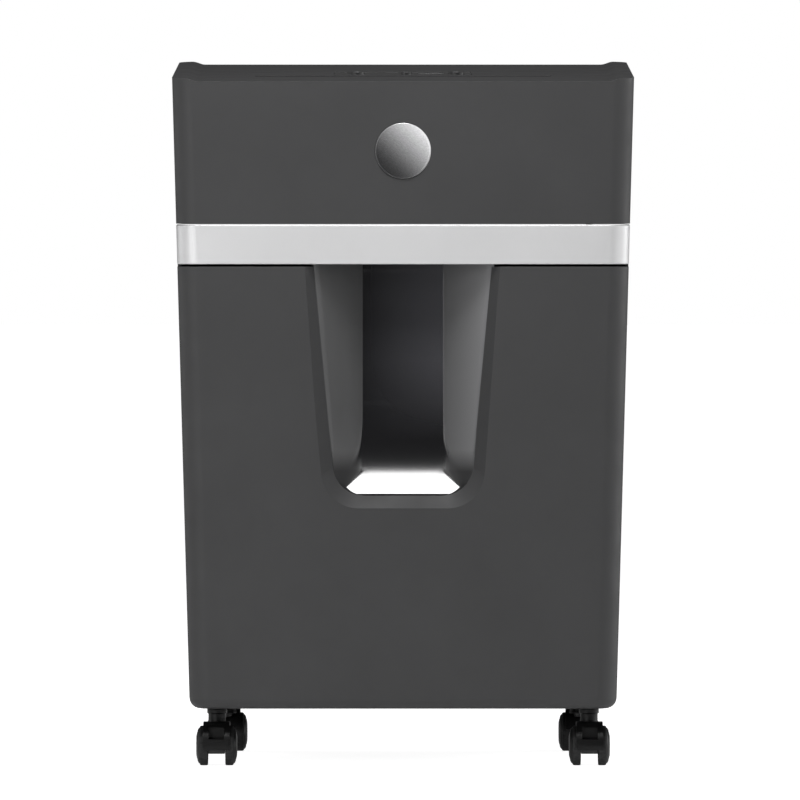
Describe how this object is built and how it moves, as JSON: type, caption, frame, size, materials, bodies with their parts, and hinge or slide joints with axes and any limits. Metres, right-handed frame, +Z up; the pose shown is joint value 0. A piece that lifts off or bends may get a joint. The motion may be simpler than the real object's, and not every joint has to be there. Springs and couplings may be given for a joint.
{
  "type": "paper shredder",
  "caption": "Deskside paper shredder with a top feed slot, a pull-out bin with a smoked hand scoop and silver pull band, on swivelling casters.",
  "frame": {"origin": "on the floor, under the middle of the body", "axes": "+Z up; -Y is the front, with the scoop and the badge; +X is on the right seen from the front"},
  "size_m": [0.348, 0.2456, 0.5356],
  "materials": {
    "body_grey_plastic": "fine moulded texture, satin",
    "trim_silver": "silver paint, satin",
    "badge_silver": "brushed and plated, glossy",
    "smoked_gloss_plastic": "polished, smoked",
    "panel_gloss_black": "polished",
    "button_black": "satin",
    "caster_black": "satin",
    "inner_black_plastic": "matt",
    "cutter_steel": "ground, oiled",
    "gear_steel": "sintered",
    "zinc_plated_steel": "zinc plated",
    "black_oxide_steel": "black oxide",
    "bearing_brass": "sintered",
    "white_nylon": "moulded",
    "lens_white": "diffusing",
    "stator_steel": "laminated",
    "armature_copper": "varnished winding",
    "board_green": "solder mask"
  },
  "bodies": {
    "cabinet": {"cabinet_shell": "body_grey_plastic", "chassis_plate": "inner_black_plastic", "head_cover": "body_grey_plastic", "head_tray": "inner_black_plastic", "feed_throat": "inner_black_plastic", "badge_disc": "badge_silver", "control_panel": "panel_gloss_black", "status_lens": "lens_white", "cord_gland": "inner_black_plastic", "side_plate_left": "zinc_plated_steel", "side_plate_right": "zinc_plated_steel", "tie_bar": "zinc_plated_steel", "comb_front": "zinc_plated_steel", "comb_rear": "zinc_plated_steel", "bush_front_left": "bearing_brass", "bush_front_right": "bearing_brass", "bush_rear_left": "bearing_brass", "bush_rear_right": "bearing_brass", "idler_pin": "cutter_steel", "motor_housing": "stator_steel", "control_board": "board_green", "paper_sensor": "inner_black_plastic", "interlock_switch": "inner_black_plastic", "caster_stem_front_left": "black_oxide_steel", "caster_stem_front_right": "black_oxide_steel", "caster_stem_rear_left": "black_oxide_steel", "caster_stem_rear_right": "black_oxide_steel"},
    "bin": {"bin_tub": "inner_black_plastic", "bin_front_panel": "body_grey_plastic", "trim_band": "trim_silver", "scoop_window": "smoked_gloss_plastic"},
    "roller_rear": {"cutter_roller_rear": "cutter_steel", "roller_gear_rear": "gear_steel", "drive_gear": "gear_steel"},
    "roller_front": {"cutter_roller_front": "cutter_steel", "roller_gear_front": "gear_steel"},
    "idler": {"idler_gear": "white_nylon"},
    "armature": {"motor_armature": "armature_copper", "motor_pinion": "bearing_brass"},
    "reverse_button": {"button_reverse": "button_black"},
    "power_button": {"button_power": "button_black"},
    "forward_button": {"button_forward": "button_black"},
    "sensor_lever": {"paper_sensor_lever": "white_nylon"},
    "interlock": {"interlock_plunger": "white_nylon"},
    "caster_front_left": {"caster_hood_front_left": "caster_black", "caster_axle_front_left": "black_oxide_steel"},
    "wheel_front_left_a": {"caster_wheel_front_left_a": "caster_black"},
    "wheel_front_left_b": {"caster_wheel_front_left_b": "caster_black"},
    "caster_front_right": {"caster_hood_front_right": "caster_black", "caster_axle_front_right": "black_oxide_steel"},
    "wheel_front_right_a": {"caster_wheel_front_right_a": "caster_black"},
    "wheel_front_right_b": {"caster_wheel_front_right_b": "caster_black"},
    "caster_rear_left": {"caster_hood_rear_left": "caster_black", "caster_axle_rear_left": "black_oxide_steel"},
    "wheel_rear_left_a": {"caster_wheel_rear_left_a": "caster_black"},
    "wheel_rear_left_b": {"caster_wheel_rear_left_b": "caster_black"},
    "caster_rear_right": {"caster_hood_rear_right": "caster_black", "caster_axle_rear_right": "black_oxide_steel"},
    "wheel_rear_right_a": {"caster_wheel_rear_right_a": "caster_black"},
    "wheel_rear_right_b": {"caster_wheel_rear_right_b": "caster_black"}
  },
  "joints": [
    {"name": "bin_slide", "type": "slide", "parent": "cabinet", "child": "bin", "axis": [0, -1, 0], "range_m": [0, 0.22]},
    {"name": "roller_rear_spin", "type": "hinge", "parent": "cabinet", "child": "roller_rear", "pos_m": [0, -0.026, 0.455], "axis": [1, 0, 0], "continuous": true},
    {"name": "roller_front_spin", "type": "hinge", "parent": "cabinet", "child": "roller_front", "pos_m": [0, -0.064, 0.455], "axis": [1, 0, 0], "continuous": true},
    {"name": "idler_spin", "type": "hinge", "parent": "cabinet", "child": "idler", "pos_m": [0.129, 0.00802, 0.46738], "axis": [1, 0, 0], "continuous": true},
    {"name": "armature_spin", "type": "hinge", "parent": "cabinet", "child": "armature", "pos_m": [0.08, 0.03875, 0.4562], "axis": [1, 0, 0], "continuous": true},
    {"name": "reverse_press", "type": "slide", "parent": "cabinet", "child": "reverse_button", "axis": [0, 0.0729, -0.9973], "range_m": [0, 0.0012], "stiffness_N_per_m": 600},
    {"name": "power_press", "type": "slide", "parent": "cabinet", "child": "power_button", "axis": [0, 0.0729, -0.9973], "range_m": [0, 0.0012], "stiffness_N_per_m": 600},
    {"name": "forward_press", "type": "slide", "parent": "cabinet", "child": "forward_button", "axis": [0, 0.0729, -0.9973], "range_m": [0, 0.0012], "stiffness_N_per_m": 600},
    {"name": "sensor_swing", "type": "hinge", "parent": "cabinet", "child": "sensor_lever", "pos_m": [0, -0.0575, 0.495], "axis": [1, 0, 0], "range_deg": [-24, 0], "stiffness_Nm_per_rad": 0.004},
    {"name": "interlock_press", "type": "slide", "parent": "cabinet", "child": "interlock", "axis": [0, 0, 1], "range_m": [0, 0.002], "stiffness_N_per_m": 400},
    {"name": "swivel_front_left", "type": "hinge", "parent": "cabinet", "child": "caster_front_left", "pos_m": [-0.1407, -0.0735, 0.0425], "axis": [0, 0, 1], "continuous": true},
    {"name": "roll_front_left_a", "type": "hinge", "parent": "caster_front_left", "child": "wheel_front_left_a", "pos_m": [-0.1407, -0.0845, 0.015], "axis": [1, 0, 0], "continuous": true},
    {"name": "roll_front_left_b", "type": "hinge", "parent": "caster_front_left", "child": "wheel_front_left_b", "pos_m": [-0.1407, -0.0845, 0.015], "axis": [1, 0, 0], "continuous": true},
    {"name": "swivel_front_right", "type": "hinge", "parent": "cabinet", "child": "caster_front_right", "pos_m": [0.1407, -0.0735, 0.0425], "axis": [0, 0, 1], "continuous": true},
    {"name": "roll_front_right_a", "type": "hinge", "parent": "caster_front_right", "child": "wheel_front_right_a", "pos_m": [0.1407, -0.0845, 0.015], "axis": [1, 0, 0], "continuous": true},
    {"name": "roll_front_right_b", "type": "hinge", "parent": "caster_front_right", "child": "wheel_front_right_b", "pos_m": [0.1407, -0.0845, 0.015], "axis": [1, 0, 0], "continuous": true},
    {"name": "swivel_rear_left", "type": "hinge", "parent": "cabinet", "child": "caster_rear_left", "pos_m": [-0.1362, 0.0745, 0.0425], "axis": [0, 0, 1], "continuous": true},
    {"name": "roll_rear_left_a", "type": "hinge", "parent": "caster_rear_left", "child": "wheel_rear_left_a", "pos_m": [-0.1362, 0.0855, 0.015], "axis": [1, 0, 0], "continuous": true},
    {"name": "roll_rear_left_b", "type": "hinge", "parent": "caster_rear_left", "child": "wheel_rear_left_b", "pos_m": [-0.1362, 0.0855, 0.015], "axis": [1, 0, 0], "continuous": true},
    {"name": "swivel_rear_right", "type": "hinge", "parent": "cabinet", "child": "caster_rear_right", "pos_m": [0.1362, 0.0745, 0.0425], "axis": [0, 0, 1], "continuous": true},
    {"name": "roll_rear_right_a", "type": "hinge", "parent": "caster_rear_right", "child": "wheel_rear_right_a", "pos_m": [0.1362, 0.0855, 0.015], "axis": [1, 0, 0], "continuous": true},
    {"name": "roll_rear_right_b", "type": "hinge", "parent": "caster_rear_right", "child": "wheel_rear_right_b", "pos_m": [0.1362, 0.0855, 0.015], "axis": [1, 0, 0], "continuous": true}
  ],
  "couplings": [
    {"joint": "roller_front_spin", "follows": "roller_rear_spin", "ratio": -1},
    {"joint": "idler_spin", "follows": "roller_rear_spin", "ratio": -3},
    {"joint": "armature_spin", "follows": "roller_rear_spin", "ratio": 10}
  ]
}
